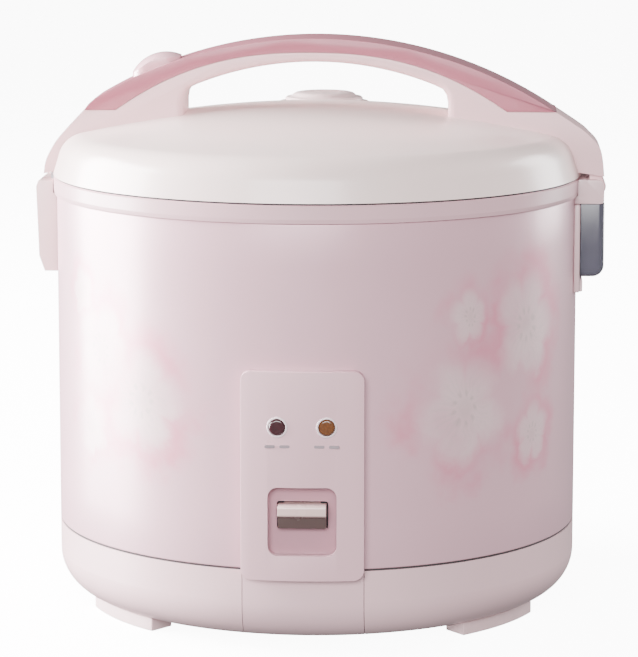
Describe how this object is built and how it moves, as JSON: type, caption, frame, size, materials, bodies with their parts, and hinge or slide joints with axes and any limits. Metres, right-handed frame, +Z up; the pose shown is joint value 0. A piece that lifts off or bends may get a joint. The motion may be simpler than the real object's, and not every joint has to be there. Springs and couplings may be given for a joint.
{
  "type": "rice cooker",
  "caption": "Round electric rice cooker with a printed pink body, hinged lid with a fixed carry handle, release button, steam cap, side dew collector and a lever key on a raised front panel.",
  "frame": {"origin": "centre of the footprint on the surface the feet stand on", "axes": "+Z up, -Y towards the control panel, +X towards the lid hinge and dew collector"},
  "size_m": [0.2941, 0.284, 0.293],
  "materials": {
    "base_housing": "satin",
    "bottom_cover": "satin",
    "bottom_screws": "satin",
    "feet": "matt",
    "outer_shell": "pearl gloss with a pale flower print",
    "top_ring": "satin",
    "case_screws": "satin",
    "front_panel": "satin",
    "lamp_lens_cook": "gloss",
    "lamp_lens_warm": "gloss",
    "lamp_bulbs": "clear",
    "lamp_board": "matt",
    "lever_bracket": "galvanised",
    "lever_pin": "turned",
    "microswitch": "matt",
    "inner_case": "galvanised",
    "warm_band": "foil",
    "heater_plate": "turned",
    "heating_element": "dark",
    "thermal_fuse": "fibre sleeve",
    "sensor_seat": "galvanised",
    "sensor_spring": "drawn",
    "inlet_housing": "matt",
    "inlet_pins": "plated",
    "catch_housing": "satin",
    "hinge_bracket": "satin",
    "hinge_pin": "turned",
    "hinge_spring": "drawn",
    "collector_bracket": "satin",
    "lid_cover": "satin",
    "lid_liner": "satin",
    "lid_screws": "satin",
    "lid_plate": "satin",
    "lid_gasket": "silicone",
    "steam_duct": "satin",
    "steam_seal": "silicone",
    "handle_strap": "satin",
    "handle_grip": "satin",
    "handle_screws": "satin",
    "latch_pin": "turned",
    "latch_spring": "drawn",
    "release_button": "gloss",
    "latch_hook": "pressed",
    "cook_key": "satin",
    "lever_arm": "galvanised",
    "magnet": "ferrite",
    "magnet_rod": "turned",
    "switch_plunger": "matt",
    "inner_pot": "anodised",
    "sensor_cap": "satin",
    "sensor_ferrite": "ferrite",
    "steam_cap": "satin",
    "dew_collector": "smoky translucent plastic"
  },
  "bodies": {
    "housing": {"base_housing": "base_housing", "bottom_cover": "bottom_cover", "bottom_screws": "bottom_screws", "feet": "feet", "outer_shell": "outer_shell", "top_ring": "top_ring", "case_screws": "case_screws", "front_panel": "front_panel", "lamp_lens_cook": "lamp_lens_cook", "lamp_lens_warm": "lamp_lens_warm", "lamp_bulbs": "lamp_bulbs", "lamp_board": "lamp_board", "lever_bracket": "lever_bracket", "lever_pin": "lever_pin", "microswitch": "microswitch", "inner_case": "inner_case", "warm_band": "warm_band", "heater_plate": "heater_plate", "heating_element": "heating_element", "thermal_fuse": "thermal_fuse", "sensor_seat": "sensor_seat", "sensor_spring": "sensor_spring", "inlet_housing": "inlet_housing", "inlet_pins": "inlet_pins", "catch_housing": "catch_housing", "hinge_bracket": "hinge_bracket", "hinge_pin": "hinge_pin", "hinge_spring": "hinge_spring", "collector_bracket": "collector_bracket"},
    "lid": {"lid_cover": "lid_cover", "lid_liner": "lid_liner", "lid_screws": "lid_screws", "lid_plate": "lid_plate", "lid_gasket": "lid_gasket", "steam_duct": "steam_duct", "steam_seal": "steam_seal", "handle_strap": "handle_strap", "handle_grip": "handle_grip", "handle_screws": "handle_screws", "latch_pin": "latch_pin", "latch_spring": "latch_spring"},
    "button": {"release_button": "release_button"},
    "latch": {"latch_hook": "latch_hook"},
    "lever": {"cook_key": "cook_key", "lever_arm": "lever_arm"},
    "magnet": {"magnet": "magnet", "magnet_rod": "magnet_rod"},
    "plunger": {"switch_plunger": "switch_plunger"},
    "pot": {"inner_pot": "inner_pot"},
    "sensor": {"sensor_cap": "sensor_cap", "sensor_ferrite": "sensor_ferrite"},
    "cap": {"steam_cap": "steam_cap"},
    "collector": {"dew_collector": "dew_collector"}
  },
  "joints": [
    {"name": "lid_hinge", "type": "hinge", "parent": "housing", "child": "lid", "pos_m": [0.145, 0, 0.217], "axis": [0, 1, 0], "range_deg": [0, 85]},
    {"name": "release_press", "type": "slide", "parent": "lid", "child": "button", "axis": [0, 0, -1], "range_m": [0, 0.0033], "stiffness_N_per_m": 600, "springref_m": -0.001},
    {"name": "latch_turn", "type": "hinge", "parent": "lid", "child": "latch", "pos_m": [-0.131, 0, 0.2265], "axis": [0, 1, 0], "range_deg": [0, 4.6]},
    {"name": "cook_press", "type": "hinge", "parent": "housing", "child": "lever", "pos_m": [0, -0.06, 0.034], "axis": [1, 0, 0], "range_deg": [0, 5.7], "stiffness_Nm_per_rad": 1, "springref_deg": -5.73},
    {"name": "magnet_lift", "type": "slide", "parent": "housing", "child": "magnet", "axis": [0, 0, 1], "range_m": [0, 0.0067]},
    {"name": "plunger_lift", "type": "slide", "parent": "housing", "child": "plunger", "axis": [0, 0, 1], "range_m": [0, 0.0033]},
    {"name": "pot_lift", "type": "slide", "parent": "housing", "child": "pot", "axis": [0, 0, 1], "range_m": [0, 0.0025]},
    {"name": "sensor_lift", "type": "slide", "parent": "housing", "child": "sensor", "axis": [0, 0, 1], "range_m": [0, 0.0025]},
    {"name": "cap_pull", "type": "slide", "parent": "lid", "child": "cap", "axis": [0, 0, 1], "range_m": [0, 0.02]},
    {"name": "collector_pull", "type": "slide", "parent": "housing", "child": "collector", "axis": [1, 0, 0], "range_m": [0, 0.03]}
  ],
  "couplings": [
    {"joint": "latch_turn", "follows": "release_press", "rad_per_m": 23.8},
    {"joint": "magnet_lift", "follows": "cook_press", "m_per_rad": 0.0663},
    {"joint": "plunger_lift", "follows": "cook_press", "m_per_rad": 0.0322},
    {"joint": "sensor_lift", "follows": "pot_lift", "ratio": 1}
  ]
}
